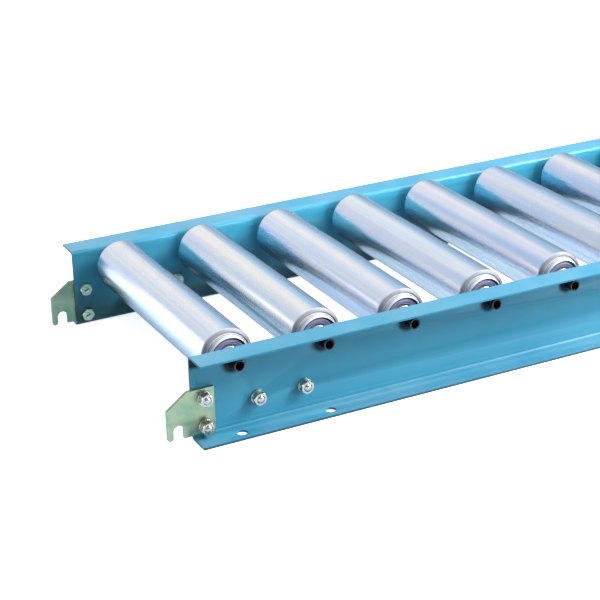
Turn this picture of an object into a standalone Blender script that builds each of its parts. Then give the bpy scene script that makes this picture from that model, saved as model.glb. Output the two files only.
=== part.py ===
"""Gravity roller conveyor, one straight 1 m section.

Two folded C channels stand with their flanges outward and are tied by two pipe
stays with a through rod. Ten tube rollers turn on pressed-steel bearings, and
their hollow axles lie fixed in round holes of the channels. Hook plates at one
end and studs at the other couple the section to its neighbours.

Metres, +Z up. X runs along the conveyor, from the hook end to the stud end.
Left is +Y and right is -Y. The origin is the middle of the overall footprint,
on the plane of the channels' undersides.
"""

import math

import bmesh
import bpy
from mathutils import Matrix, Vector

MM = 0.001
GAP = 0.3 * MM                      # left between pieces that touch

# Section
SECTION_LENGTH = 1000 * MM
CLEAR_WIDTH = 320 * MM              # between the two webs
ROLLER_PITCH = 100 * MM
ROLLER_COUNT = 10
AXLE_HEIGHT = 72 * MM

# Side channels, folded sheet
CHANNEL_HEIGHT = 90 * MM
CHANNEL_FLANGE = 30 * MM
SHEET = 2.3 * MM
FOLD_RADIUS = 4.6 * MM
FOLD_SEGMENTS = 3
FLANGE_HOLE_DIAMETER = 11 * MM
FLANGE_HOLE_INSETS = (47 * MM, 147 * MM)
FLANGE_HOLE_FROM_WEB = 17.5 * MM

# Hook plates, at the -X end
HOOK_REACH = 28 * MM                # beyond the channels' ends
HOOK_THICKNESS = 3.2 * MM
HOOK_INNER_X = 24 * MM
HOOK_BOTTOM = 5 * MM
HOOK_TOP = 54.5 * MM
HOOK_CHAMFER_X = 22.5 * MM
HOOK_CHAMFER_Z = 16.5 * MM
HOOK_SLOT_X = -16 * MM
HOOK_SLOT_WIDTH = 11 * MM
HOOK_SLOT_CENTRE_Z = 14.5 * MM
HOOK_TIP_RADIUS = 2.5 * MM
HOOK_BOLT_X = 12.5 * MM
HOOK_BOLT_HEIGHTS = (("upper", 44 * MM), ("lower", 13 * MM))

# Rollers
ROLLER_LENGTH = 300 * MM            # over the bearings' faces
BOSS_REACH = 6.5 * MM               # each bearing beyond the tube
TUBE_LENGTH = ROLLER_LENGTH - 2 * BOSS_REACH
TUBE_RADIUS = 28.6 * MM
TUBE_WALL = 1.4 * MM
TUBE_CURL = 4.6 * MM                # rolled-in length of the tube at each end
TUBE_MOUTH_RADIUS = 24.9 * MM
TUBE_SEGMENTS = 24
BEARING_RADIUS = 26.6 * MM
BEARING_DEPTH = 20 * MM
BEARING_SKIRT_DEPTH = 12.8 * MM     # from here the cup is only a skirt inside the tube
BEARING_SEGMENTS = 16
AXLE_RADIUS = 6 * MM
AXLE_BORE_RADIUS = 4.5 * MM
AXLE_END_FROM_WEB = 12 * MM         # beyond the web's inner face
AXLE_SEGMENTS = 12
RACE_NECK_RADIUS = 11.8 * MM
RACE_RADIUS = 14 * MM
RUNNING_GAP = 0.35 * MM             # between a turning and a fixed piece

# Fasteners
M8_RADIUS = 4 * MM
M8_HOLE_RADIUS = 4.5 * MM
M8_NUT_FLATS = 13 * MM
M8_NUT_HEIGHT = 6.5 * MM
M8_HEAD_HEIGHT = 5.5 * MM
M8_WASHER_RADIUS = 7.7 * MM
M8_WASHER_HEIGHT = 2 * MM
M8_TIP = 1.6 * MM
TRUSS_HEAD_RADIUS = 9 * MM
TRUSS_HEAD_HEIGHT = 4.4 * MM
RECESS_SPAN = 6.5 * MM
RECESS_WIDTH = 1.4 * MM
RECESS_DEPTH = 2 * MM
M10_RADIUS = 5 * MM
M10_HOLE_RADIUS = 5.5 * MM
M10_NUT_FLATS = 17 * MM
M10_NUT_HEIGHT = 8 * MM
M10_HEAD_HEIGHT = 6.4 * MM
FASTENER_SEGMENTS = 10
STUD_FREE_LENGTH = HOOK_THICKNESS + 1.3 * MM

# Stays and stand bolts, mirrored to both ends
STAY_INSET = 72 * MM
STAND_BOLT_INSET = 125 * MM
TIE_HEIGHT = 29.5 * MM
STAY_PIPE_RADIUS = 10.85 * MM
STAY_PIPE_BORE_RADIUS = 8.85 * MM
STAY_SEGMENTS = 16

# Derived places
WEB_INNER = CLEAR_WIDTH / 2
WEB_OUTER = WEB_INNER + SHEET
HOOK_END = HOOK_REACH - (SECTION_LENGTH + HOOK_REACH) / 2
STUD_END = HOOK_END + SECTION_LENGTH
STUD_X = STUD_END + HOOK_SLOT_X
SIDES = (("left", 1), ("right", -1))
ENDS = (("1", HOOK_END, 1), ("2", STUD_END, -1))

BLUE_PAINT = ("turquoise_paint", (0.10, 0.36, 0.58), 0.35, 0.0)
ZINC_TUBE = ("zinc_plated_tube", (0.72, 0.74, 0.78), 0.28, 1.0)
ZINC_CUP = ("bearing_zinc", (0.80, 0.80, 0.82), 0.25, 1.0)
ZINC_AXLE = ("axle_zinc", (0.62, 0.63, 0.64), 0.35, 1.0)
CHROMATE = ("yellow_green_chromate", (0.42, 0.52, 0.34), 0.38, 1.0)
BRIGHT_ZINC = ("bolt_zinc", (0.60, 0.66, 0.56), 0.32, 1.0)


def clear_scene():
    for item in list(bpy.data.objects):
        bpy.data.objects.remove(item, do_unlink=True)


def new_collection(name):
    collection = bpy.data.collections.new(name)
    bpy.context.scene.collection.children.link(collection)
    return collection


def material(finish):
    name, colour, roughness, metallic = finish
    made = bpy.data.materials.get(name)
    if made is None:
        made = bpy.data.materials.new(name)
        made.use_nodes = True
        shader = made.node_tree.nodes["Principled BSDF"]
        shader.inputs["Base Color"].default_value = (*colour, 1.0)
        shader.inputs["Roughness"].default_value = roughness
        shader.inputs["Metallic"].default_value = metallic
    return made


def add_object(name, mesh, collection, finish=None, matrix=None, parent=None):
    item = bpy.data.objects.new(name, mesh)
    collection.objects.link(item)
    if finish is not None and not mesh.materials:
        mesh.materials.append(material(finish))
    if matrix is not None:
        item.matrix_world = matrix
    if parent is not None:
        item.parent = parent
    return item


def along_y(x, z, y=0.0, side=1):
    """Matrix that turns local +Z to +Y for the left side, or -Y for the right."""
    turn = Matrix.Rotation(-side * math.pi / 2, 4, "X")
    return Matrix.Translation((x, y, z)) @ turn


def baked(item, weld=0.0):
    """Evaluated mesh of an object, which is then removed."""
    bpy.context.view_layer.update()
    depsgraph = bpy.context.evaluated_depsgraph_get()
    mesh = bpy.data.meshes.new_from_object(item.evaluated_get(depsgraph))
    if weld:
        form = bmesh.new()
        form.from_mesh(mesh)
        bmesh.ops.remove_doubles(form, verts=form.verts, dist=weld)
        form.to_mesh(mesh)
        form.free()
    bpy.data.objects.remove(item, do_unlink=True)
    return mesh


def smooth(mesh, degrees=35):
    mesh.shade_smooth()
    mesh.set_sharp_from_angle(angle=math.radians(degrees))


def turned_mesh(name, profile, segments, collection, closed=True):
    """Solid of revolution about Z; the profile runs down its outer side."""
    mesh = bpy.data.meshes.new(name)
    count = len(profile)
    edges = [(i, i + 1) for i in range(count - 1)]
    if closed:
        edges.append((count - 1, 0))
    mesh.from_pydata([(r, 0.0, z) for r, z in profile], edges, [])
    item = add_object(name, mesh, collection)
    screw = item.modifiers.new("turn", "SCREW")
    screw.steps = segments
    screw.render_steps = segments
    screw.use_merge_vertices = True
    screw.merge_threshold = 0.0001
    made = baked(item)
    made.name = name
    smooth(made)
    return made


def prism_cutter(name, radius, depth, sides, collection, matrix):
    """Upright prism or cylinder, its middle at the matrix's origin."""
    form = bmesh.new()
    bmesh.ops.create_cone(form, cap_ends=True, segments=sides, radius1=radius,
                          radius2=radius, depth=depth)
    mesh = bpy.data.meshes.new(name)
    form.to_mesh(mesh)
    form.free()
    return as_cutter(add_object(name, mesh, collection, matrix=matrix))


def box_cutter(name, size, collection, matrix):
    form = bmesh.new()
    bmesh.ops.create_cube(form, size=1.0, matrix=Matrix.Diagonal((*size, 1.0)))
    mesh = bpy.data.meshes.new(name)
    form.to_mesh(mesh)
    form.free()
    return as_cutter(add_object(name, mesh, collection, matrix=matrix))


def as_cutter(item):
    item.hide_render = True
    item.display_type = "WIRE"
    return item


def boolean(item, other, operation):
    step = item.modifiers.new(operation.lower(), "BOOLEAN")
    step.operation = operation
    step.solver = "EXACT"
    step.object = other


def folded_sheet(name, outline, length, radius, collection, finish):
    """U-shaped folding along X; the outline is the outer skin, turning left."""
    form = bmesh.new()
    rows = [[form.verts.new((end * length / 2, y, z)) for y, z in outline] for end in (-1, 1)]
    for i in range(len(outline) - 1):
        form.faces.new((rows[0][i], rows[0][i + 1], rows[1][i + 1], rows[1][i]))
    folds = [e for e in form.edges if len(e.link_faces) == 2]
    bmesh.ops.bevel(form, geom=folds, offset=radius, segments=FOLD_SEGMENTS, profile=0.5,
                    affect="EDGES")
    bmesh.ops.recalc_face_normals(form, faces=form.faces)
    mesh = bpy.data.meshes.new(name)
    form.to_mesh(mesh)
    form.free()
    inward = Vector((0.0, outline[0][0] - outline[1][0], 0.0))
    web = max(mesh.polygons, key=lambda face: face.area)
    item = add_object(name, mesh, collection, finish)
    thicken = item.modifiers.new("sheet", "SOLIDIFY")
    thicken.thickness = SHEET
    thicken.use_even_offset = True
    thicken.offset = 1.0 if web.normal.dot(inward) > 0 else -1.0
    return item


def end_places(inset):
    return [base + direction * inset for _, base, direction in ENDS]


def roller_places():
    first = HOOK_END + (SECTION_LENGTH - (ROLLER_COUNT - 1) * ROLLER_PITCH) / 2
    return [first + i * ROLLER_PITCH for i in range(ROLLER_COUNT)]


def web_holes():
    """Every hole through a web, as (x, z, radius, sides)."""
    holes = [(x, AXLE_HEIGHT, AXLE_RADIUS + GAP, AXLE_SEGMENTS) for x in roller_places()]
    for inset in (STAY_INSET, STAND_BOLT_INSET):
        for x in end_places(inset):
            holes.append((x, TIE_HEIGHT, M8_HOLE_RADIUS, FASTENER_SEGMENTS))
    for _, z in HOOK_BOLT_HEIGHTS:
        holes.append((HOOK_END + HOOK_BOLT_X, z, M8_HOLE_RADIUS, FASTENER_SEGMENTS))
    holes.append((STUD_X, HOOK_SLOT_CENTRE_Z, M10_HOLE_RADIUS, FASTENER_SEGMENTS))
    return holes


def side_channel(label, side, parts, cutters):
    """Folded C channel, open outward, with its axle, bolt and floor holes."""
    skin = [(WEB_INNER + CHANNEL_FLANGE, CHANNEL_HEIGHT), (WEB_INNER, CHANNEL_HEIGHT),
            (WEB_INNER, 0.0), (WEB_INNER + CHANNEL_FLANGE, 0.0)]
    if side < 0:
        skin = [(-y, z) for y, z in reversed(skin)]
    channel = folded_sheet(f"side_channel_{label}", skin, SECTION_LENGTH, FOLD_RADIUS,
                           parts, BLUE_PAINT)
    centre_x = (HOOK_END + STUD_END) / 2
    channel.location = (centre_x, 0.0, 0.0)
    web_y = side * (WEB_INNER + SHEET / 2)
    for i, (x, z, radius, sides) in enumerate(web_holes()):
        cutter = prism_cutter(f"web_hole_{label}_{i}", radius, 4 * SHEET, sides, cutters,
                              along_y(x, z, web_y))
        boolean(channel, cutter, "DIFFERENCE")
    flange_y = side * (WEB_INNER + FLANGE_HOLE_FROM_WEB)
    for inset in FLANGE_HOLE_INSETS:
        for x in end_places(inset):
            cutter = prism_cutter(f"floor_hole_{label}_{x:.3f}", FLANGE_HOLE_DIAMETER / 2,
                                  4 * SHEET, FASTENER_SEGMENTS, cutters,
                                  Matrix.Translation((x, flange_y, SHEET / 2)))
            boolean(channel, cutter, "DIFFERENCE")
    return channel


def arc(centre, radius, start, end, steps):
    """Points on an arc, with angles in degrees."""
    points = []
    for i in range(steps + 1):
        angle = math.radians(start + (end - start) * i / steps)
        points.append((centre[0] + radius * math.cos(angle), centre[1] + radius * math.sin(angle)))
    return points


def hook_outline():
    """Plate with a chamfered corner and a slot that opens downward."""
    slot_r = HOOK_SLOT_WIDTH / 2
    tip = HOOK_TIP_RADIUS
    left = -HOOK_REACH
    inner_edge = HOOK_SLOT_X - slot_r
    points = [(HOOK_INNER_X, HOOK_TOP), (left + HOOK_CHAMFER_X, HOOK_TOP),
              (left, HOOK_TOP - HOOK_CHAMFER_Z)]
    points += arc((left + tip, HOOK_BOTTOM + tip), tip, 180, 270, 3)
    points += arc((inner_edge - tip, HOOK_BOTTOM + tip), tip, 270, 360, 3)
    points += arc((HOOK_SLOT_X, HOOK_SLOT_CENTRE_Z), slot_r, 180, 0, 8)
    points += [(HOOK_SLOT_X + slot_r, HOOK_BOTTOM), (HOOK_INNER_X, HOOK_BOTTOM)]
    return points


def hook_plate_mesh():
    """Flat plate in local XY, half its thickness to each side."""
    curve = bpy.data.curves.new("hook_plate", "CURVE")
    curve.dimensions = "2D"
    curve.fill_mode = "BOTH"
    curve.extrude = HOOK_THICKNESS / 2
    loops = [hook_outline()]
    for _, z in HOOK_BOLT_HEIGHTS:
        hole = arc((HOOK_BOLT_X, z), M8_HOLE_RADIUS, 0, 360, FASTENER_SEGMENTS)
        loops.append(hole[:-1])
    for loop in loops:
        spline = curve.splines.new("POLY")
        spline.points.add(len(loop) - 1)
        spline.use_cyclic_u = True
        for point, (x, y) in zip(spline.points, loop):
            point.co = (x, y, 0.0, 1.0)
    outline = bpy.data.objects.new("hook_outline", curve)
    bpy.context.scene.collection.objects.link(outline)
    mesh = baked(outline, weld=0.00001)
    bpy.data.curves.remove(curve)
    return mesh


def hook_plates(parts):
    mesh = hook_plate_mesh()
    middle = WEB_OUTER + GAP + HOOK_THICKNESS / 2
    stand = Matrix.Rotation(math.pi / 2, 4, "X")
    for label, side in SIDES:
        place = Matrix.Translation((HOOK_END, side * middle, 0.0))
        add_object(f"hook_plate_{label}", mesh, parts, CHROMATE, place @ stand)


def tube_mesh(collection):
    """Roller tube whose ends are rolled inward over the bearings."""
    half = TUBE_LENGTH / 2
    inner = TUBE_RADIUS - TUBE_WALL
    upper = [(inner, half - TUBE_CURL - 0.6 * MM), (TUBE_MOUTH_RADIUS, half - TUBE_WALL),
             (TUBE_MOUTH_RADIUS + 0.2 * MM, half), (TUBE_RADIUS - 1.3 * MM, half - TUBE_WALL),
             (TUBE_RADIUS, half - TUBE_CURL)]
    lower = [(r, -z) for r, z in reversed(upper)]
    return turned_mesh("roller_tube", upper + lower, TUBE_SEGMENTS, collection)


def bearing_mesh(collection):
    """Pressed cup with its seal; z = 0 is the roller's end and -z goes inside.

    Its conical boss stands out of the tube, and a skirt holds it inside.
    """
    seal_bore = (RACE_NECK_RADIUS + RUNNING_GAP) / math.cos(math.pi / BEARING_SEGMENTS)
    track = (RACE_RADIUS + RUNNING_GAP) / math.cos(math.pi / BEARING_SEGMENTS)
    skirt = BEARING_RADIUS - 2.2 * MM
    profile = [(seal_bore, -2.2 * MM), (20.3 * MM, -2.2 * MM), (21.0 * MM, -0.5 * MM),
               (23.7 * MM, -BOSS_REACH - TUBE_WALL), (BEARING_RADIUS, -BOSS_REACH - 6.1 * MM),
               (BEARING_RADIUS, -BEARING_DEPTH), (skirt, -BEARING_DEPTH),
               (skirt, -BEARING_SKIRT_DEPTH), (track, -BEARING_SKIRT_DEPTH),
               (track, -4.9 * MM), (seal_bore, -4.9 * MM)]
    return turned_mesh("bearing", profile, BEARING_SEGMENTS, collection)


def axle_mesh(collection):
    """Hollow axle with a swaged collar and a pressed-on inner race at each end."""
    end = ROLLER_LENGTH / 2
    tip = WEB_INNER + AXLE_END_FROM_WEB
    collar = WEB_INNER - 1.4 * MM
    outer = [(AXLE_BORE_RADIUS, tip), (AXLE_RADIUS, tip), (AXLE_RADIUS, collar + 1 * MM),
             (AXLE_RADIUS + 1.2 * MM, collar), (AXLE_RADIUS, collar - 1 * MM),
             (AXLE_RADIUS, end - 0.6 * MM), (RACE_NECK_RADIUS, end - 0.6 * MM),
             (RACE_NECK_RADIUS, end - 5.4 * MM), (RACE_RADIUS, end - 6 * MM),
             (RACE_RADIUS, end - 10.4 * MM), (AXLE_RADIUS, end - 10.4 * MM)]
    profile = outer + [(r, -z) for r, z in reversed(outer)]
    return turned_mesh("axle", profile, AXLE_SEGMENTS, collection)


def rollers(parts):
    """Tube and two bearings turn about the axis; the axle stays in the channels."""
    tube, bearing, axle = tube_mesh(parts), bearing_mesh(parts), axle_mesh(parts)
    for number, x in enumerate(roller_places(), start=1):
        tag = f"{number:02d}"
        axis = bpy.data.objects.new(f"roller_axis_{tag}", None)
        parts.objects.link(axis)
        axis.location = (x, 0.0, AXLE_HEIGHT)
        add_object(f"roller_tube_{tag}", tube, parts, ZINC_TUBE, along_y(0.0, 0.0), axis)
        for label, side in SIDES:
            seat = along_y(0.0, 0.0, side * ROLLER_LENGTH / 2, side)
            add_object(f"bearing_{label}_{tag}", bearing, parts, ZINC_CUP, seat, axis)
        add_object(f"axle_{tag}", axle, parts, ZINC_AXLE, along_y(x, AXLE_HEIGHT))


def hex_radius(flats):
    return flats / 2 / math.cos(math.pi / 6)


def cross_recess(item, top, cutters):
    """Cross-shaped driver recess in a bolt head whose top is at -top."""
    for i, size in enumerate(((RECESS_SPAN, RECESS_WIDTH), (RECESS_WIDTH, RECESS_SPAN))):
        cutter = box_cutter(f"{item.name}_recess_{i}", (*size, 2 * RECESS_DEPTH), cutters,
                            Matrix.Translation((0.0, 0.0, -top)))
        boolean(item, cutter, "DIFFERENCE")


def bolt_mesh(name, grip, truss, cutters):
    """M8 bolt, spring washer and nut as one piece.

    Local z = 0 is the web's inner face and +z goes outward; the grip is the
    thickness clamped under the washer.
    """
    washer = grip + GAP
    nut = washer + M8_WASHER_HEIGHT
    tip = nut + M8_NUT_HEIGHT + M8_TIP
    head_height = TRUSS_HEAD_HEIGHT if truss else M8_HEAD_HEIGHT
    head_top = GAP + head_height
    shank = [(0.0, tip), (M8_RADIUS - 0.6 * MM, tip), (M8_RADIUS, tip - 0.6 * MM),
             (M8_RADIUS, nut), (M8_WASHER_RADIUS, nut), (M8_WASHER_RADIUS, washer),
             (M8_RADIUS, washer)]
    if truss:
        dome = [(M8_RADIUS, -GAP), (TRUSS_HEAD_RADIUS, -GAP),
                (TRUSS_HEAD_RADIUS, -GAP - 0.8 * MM), (7 * MM, -head_top + 1.2 * MM),
                (3.8 * MM, -head_top), (0.0, -head_top)]
        profile = shank + dome
    else:
        profile = shank + [(M8_RADIUS, -head_top + 1 * MM), (0.0, -head_top + 1 * MM)]
    core = add_object(name, turned_mesh(name + "_core", profile, FASTENER_SEGMENTS, cutters,
                                        closed=False), cutters)
    nut_prism = prism_cutter(name + "_nut", hex_radius(M8_NUT_FLATS), M8_NUT_HEIGHT, 6, cutters,
                             Matrix.Translation((0.0, 0.0, nut + M8_NUT_HEIGHT / 2 - 0.01 * MM)))
    boolean(core, nut_prism, "UNION")
    if not truss:
        head_prism = prism_cutter(name + "_head", hex_radius(M8_NUT_FLATS), head_height, 6,
                                  cutters,
                                  Matrix.Translation((0.0, 0.0, -GAP - head_height / 2)))
        boolean(core, head_prism, "UNION")
    cross_recess(core, head_top, cutters)
    mesh = baked(core)
    smooth(mesh)
    return mesh


def stud_mesh(cutters):
    """M10 coupling stud: head inside, free groove outside the web, then a nut."""
    groove = SHEET + STUD_FREE_LENGTH
    tip = groove + M10_NUT_HEIGHT + 2 * MM
    profile = [(0.0, tip), (M10_RADIUS - 0.8 * MM, tip), (M10_RADIUS, tip - 0.8 * MM),
               (M10_RADIUS, -GAP - 2 * MM), (0.0, -GAP - 2 * MM)]
    core = add_object("coupling_stud", turned_mesh("stud_core", profile, FASTENER_SEGMENTS,
                                                   cutters, closed=False), cutters)
    for label, height, middle in (("nut", M10_NUT_HEIGHT, groove + M10_NUT_HEIGHT / 2),
                                  ("head", M10_HEAD_HEIGHT, -GAP - M10_HEAD_HEIGHT / 2)):
        prism = prism_cutter("stud_" + label, hex_radius(M10_NUT_FLATS), height, 6, cutters,
                             Matrix.Translation((0.0, 0.0, middle)))
        boolean(core, prism, "UNION")
    mesh = baked(core)
    smooth(mesh)
    return mesh


def tie_rod_mesh(cutters):
    """M8 rod through both webs, with a spring washer and nut at each end."""
    washer = WEB_OUTER + GAP
    nut = washer + M8_WASHER_HEIGHT
    tip = nut + M8_NUT_HEIGHT + M8_TIP
    end = [(0.0, tip), (M8_RADIUS - 0.6 * MM, tip), (M8_RADIUS, tip - 0.6 * MM),
           (M8_RADIUS, nut), (M8_WASHER_RADIUS, nut), (M8_WASHER_RADIUS, washer),
           (M8_RADIUS, washer)]
    profile = end + [(r, -z) for r, z in reversed(end)]
    core = add_object("tie_rod", turned_mesh("tie_rod_core", profile, FASTENER_SEGMENTS,
                                             cutters, closed=False), cutters)
    for side in (1, -1):
        middle = side * (nut + M8_NUT_HEIGHT / 2 - 0.01 * MM)
        prism = prism_cutter(f"tie_rod_nut_{side}", hex_radius(M8_NUT_FLATS), M8_NUT_HEIGHT, 6,
                             cutters, Matrix.Translation((0.0, 0.0, middle)))
        boolean(core, prism, "UNION")
    mesh = baked(core)
    smooth(mesh)
    return mesh


def stays(parts, cutters):
    """A pipe between the webs and a rod through it, near each end."""
    half = WEB_INNER - GAP
    profile = [(STAY_PIPE_RADIUS, half), (STAY_PIPE_RADIUS, -half),
               (STAY_PIPE_BORE_RADIUS, -half), (STAY_PIPE_BORE_RADIUS, half)]
    pipe = turned_mesh("stay_pipe", profile, STAY_SEGMENTS, parts)
    rod = tie_rod_mesh(cutters)
    for (number, _, _), x in zip(ENDS, end_places(STAY_INSET)):
        place = along_y(x, TIE_HEIGHT)
        add_object(f"stay_pipe_{number}", pipe, parts, BLUE_PAINT, place)
        add_object(f"tie_rod_{number}", rod, parts, BRIGHT_ZINC, place)


def fasteners(parts, cutters):
    """Stand bolts, hook-plate bolts and the coupling studs of both sides."""
    stand_bolt = bolt_mesh("stand_bolt", SHEET, True, cutters)
    hook_bolt = bolt_mesh("hook_bolt", SHEET + GAP + HOOK_THICKNESS, False, cutters)
    stud = stud_mesh(cutters)
    for label, side in SIDES:
        web = side * WEB_INNER
        for (number, _, _), x in zip(ENDS, end_places(STAND_BOLT_INSET)):
            add_object(f"stand_bolt_{label}_{number}", stand_bolt, parts, BRIGHT_ZINC,
                       along_y(x, TIE_HEIGHT, web, side))
        for level, z in HOOK_BOLT_HEIGHTS:
            add_object(f"hook_bolt_{label}_{level}", hook_bolt, parts, BRIGHT_ZINC,
                       along_y(HOOK_END + HOOK_BOLT_X, z, web, side))
        add_object(f"coupling_stud_{label}", stud, parts, BRIGHT_ZINC,
                   along_y(STUD_X, HOOK_SLOT_CENTRE_Z, web, side))


def build():
    clear_scene()
    parts = new_collection("gravity_roller_conveyor")
    cutters = new_collection("cutters")
    for label, side in SIDES:
        side_channel(label, side, parts, cutters)
    hook_plates(parts)
    stays(parts, cutters)
    fasteners(parts, cutters)
    rollers(parts)


build()
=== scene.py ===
"""Looks of the gravity roller conveyor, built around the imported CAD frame.

Every CAD node is replaced by finer pieces that fill the same box. Metres, +Z up, X along
the conveyor, left is +Y. Places come from the frame's boxes.
"""
import math

import bmesh
import bpy
import numpy as np
from mathutils import Matrix, Vector


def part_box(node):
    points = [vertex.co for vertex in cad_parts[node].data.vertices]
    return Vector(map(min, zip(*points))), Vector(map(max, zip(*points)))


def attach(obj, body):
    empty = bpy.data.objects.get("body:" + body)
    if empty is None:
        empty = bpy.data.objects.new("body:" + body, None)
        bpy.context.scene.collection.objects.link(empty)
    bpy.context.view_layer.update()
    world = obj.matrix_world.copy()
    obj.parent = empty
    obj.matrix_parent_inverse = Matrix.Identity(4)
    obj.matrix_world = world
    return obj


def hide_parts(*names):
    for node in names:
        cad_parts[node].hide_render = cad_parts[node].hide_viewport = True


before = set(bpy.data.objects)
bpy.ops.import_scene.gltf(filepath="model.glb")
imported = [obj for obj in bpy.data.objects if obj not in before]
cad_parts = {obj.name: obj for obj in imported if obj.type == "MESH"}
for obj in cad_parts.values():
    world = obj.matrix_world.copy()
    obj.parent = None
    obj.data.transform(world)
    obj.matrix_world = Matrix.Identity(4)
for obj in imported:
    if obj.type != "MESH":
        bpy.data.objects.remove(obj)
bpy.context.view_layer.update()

MM = 0.001
SIDES = (("left", 1), ("right", -1))
ENDS = ("1", "2")
ROLLERS = [f"{number:02d}" for number in range(1, 11)]
PLACE = "own_place"                 # mesh attribute that the materials read
PIECE_SHIFT = 37.0                  # how far apart two pieces' noise lies
WELD_REACH = 0.01 * MM
TURNED_EDGE = 0.3 * MM              # usual rounding of a turned profile

# Sheet metal
SHEET = 2.3 * MM
FOLD_RADIUS = 4.6 * MM              # outside of the fold
FOLD_STEPS = 10
SHEET_EDGE = 0.3 * MM
HOLE_STEPS = 48
FLANGE_HOLE_RADIUS = 5.5 * MM
FLANGE_HOLE_INSETS = (47 * MM, 147 * MM)
FLANGE_HOLE_FROM_WEB = 17.5 * MM
AXLE_HOLE_RADIUS = 6.3 * MM
M8_HOLE_RADIUS = 4.5 * MM
M10_HOLE_RADIUS = 5.5 * MM

# Marks in the channels' paint: each fades over the two distances given
SHADOW_SHIFT = 3.5 * MM              # painted shadow's shift toward the hook end of each axle hole
GRIME_AND_SHADOW_FADE = (8.2 * MM, 12.3 * MM)  # from the middle of the grime and painted shadow
FOLD_LINE_Z = 3.8 * MM              # height of the painted highlight along the lower fold
FOLD_LINE_FADE = (0.25 * MM, 0.65 * MM)
LOW_SHADE_FADE = (14 * MM, 50 * MM)      # height of the painted shade on the webs' inner faces
CORNER_FADE_X = (15 * MM, 23 * MM)  # corner under the top flange, from the hook end
CORNER_FADE_Z = (74 * MM, 78 * MM)
RIM_FADE = (0.35 * MM, 0.10 * MM)   # in from the flange's rim
RIM_FADE_Z = (10 * MM, 20 * MM)     # height; only the lower flange's rim is dark

# Hook plate
HOOK_CHAMFER = (22.5 * MM, 16.5 * MM)   # along X and Z
HOOK_CHAMFER_CORNER = 1.5 * MM
HOOK_SLOT_INSET = 12 * MM           # slot's middle, from the plate's outer edge
HOOK_SLOT_RADIUS = 5.5 * MM
HOOK_SLOT_RISE = 9.5 * MM           # slot's middle, above the plate's lower edge
HOOK_TIP_RADIUS = 2.6 * MM
HOOK_CORNER = 0.8 * MM
HOOK_EDGE = 0.35 * MM

# Rollers; depths are from the bearing's face
TUBE_WALL = 1.4 * MM
TUBE_CURL = 4.6 * MM                # radius of the rolled-in end
TUBE_CURL_ANGLE = 80
TUBE_STEPS = 128
CUP_SEAM_RADIUS = 22.2 * MM
SEAL_LIP = (18.4 * MM, 18.9 * MM)   # radii between which the painted shade on the seal sets in
RACE_NECK_RADIUS = 11.8 * MM
RACE_FACE_DEPTH = 0.6 * MM
RACE_BACK_DEPTH = 12 * MM
RACE_GROOVE_DEPTH = 6.2 * MM
RACE_CLEARANCE = 0.05 * MM          # to the axle and to the balls
AXLE_RADIUS = 6 * MM
AXLE_BORE_RADIUS = 4.5 * MM
BALL_RADIUS = 3.2 * MM
BALL_COUNT = 9
BALL_TRACK_RADIUS = 14.6 * MM
BALL_DEPTH = 9 * MM
COLLAR_INSET = 1.4 * MM             # crest of the axle's collar, in from the web
COLLAR_HALF = 1.1 * MM
COLLAR_RISE = 1.2 * MM

# Fasteners
M8_RADIUS = 4 * MM
M8_PITCH = 1.25 * MM
M8_FLATS = 13 * MM
M8_NUT_HEIGHT = 6.5 * MM
M8_HEAD_HEIGHT = 5.5 * MM
M8_WASHER_RADIUS = 7.7 * MM
M8_WASHER_HEIGHT = 2 * MM
WASHER_STEPS = 60
WASHER_SPLIT = 12                   # degrees between the ends of the ring
WASHER_RISE = 0.28 * MM             # from one end to the other
WASHER_SLANT = 0.16                 # of the ends, in radians
M10_RADIUS = 5 * MM
M10_PITCH = 1.5 * MM
M10_FLATS = 17 * MM
M10_NUT_HEIGHT = 8 * MM
M10_HEAD_HEIGHT = 6.4 * MM
STUD_TIP = 2 * MM                   # thread beyond the stud's nut
TRUSS_RADIUS = 9 * MM
TRUSS_HEIGHT = 4.4 * MM
TRUSS_RIM = 0.45 * MM
TRUSS_TIP = 0.001 * MM              # radius of the dome's last ring
HEAD_SEAT = 0.4 * MM                # round seat under a hexagon head
HEAD_SEAT_SHARE = 0.46              # its radius, as a share of the flats
RECESS_DEPTH = 2.6 * MM
RECESS_TOP = (7.2 * MM, 1.7 * MM)   # length and width of each bar of the cross
RECESS_FOOT = (2.4 * MM, 1.1 * MM)
RECESS_OVERSHOOT = 0.3 * MM
STAND_PLAIN = 4 * MM                # shank without thread
HOOK_PLAIN = 6 * MM
STUD_RUN_OUT = 1.5 * MM             # thread behind the stud's nut
ROD_THREAD = 6 * MM                 # thread inside the web
STAY_WALL = 2 * MM
GAP = 0.3 * MM                      # between stacked pieces
HEAD_GAP = 0.05 * MM                # between a head and the web
WASHER_GAP = 0.15 * MM
SHANK_START = 0.1 * MM
HEX_STEPS = 96
TIP = 1.6 * MM                      # thread beyond an M8 nut
FIRST_TURN = 0.35
TURN_STEP = 2.39                    # radians from one nut to the next
CHAMFER_SHARE = 0.955               # round face of a hexagon, as a share of its flats
THREAD_DEPTH = 0.54                 # of the pitch
THREAD_LEAD = 0.9                   # chamfer at the end, of the pitch
NUT_HOLE, NUT_MOUTH = 1.02, 1.12    # of the thread's radius

# Light of the surroundings
FRONT_GLOW = (0.10, 0.12, 0.15)
BACK_GLOW = ((0.08, (0.64, 0.77, 0.92)), (0.25, (0.72, 0.84, 0.95)), (0.50, (0.96, 0.98, 0.96)),
             (0.62, (1.03, 1.02, 0.99)), (0.75, (0.88, 0.95, 0.96)), (0.83, (0.58, 0.77, 0.93)),
             (0.92, (0.39, 0.66, 0.91)))
CEILING_GLOW = (1.25, 1.35, 1.45)
FLOOR_GLOW = 0.80                   # to the camera
FLOOR_GLOW_IN_METAL = (0.07, 0.22, 0.32)
FLOOR_DROP = 0.5 * MM
FLOOR_HALF = 15.0

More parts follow.
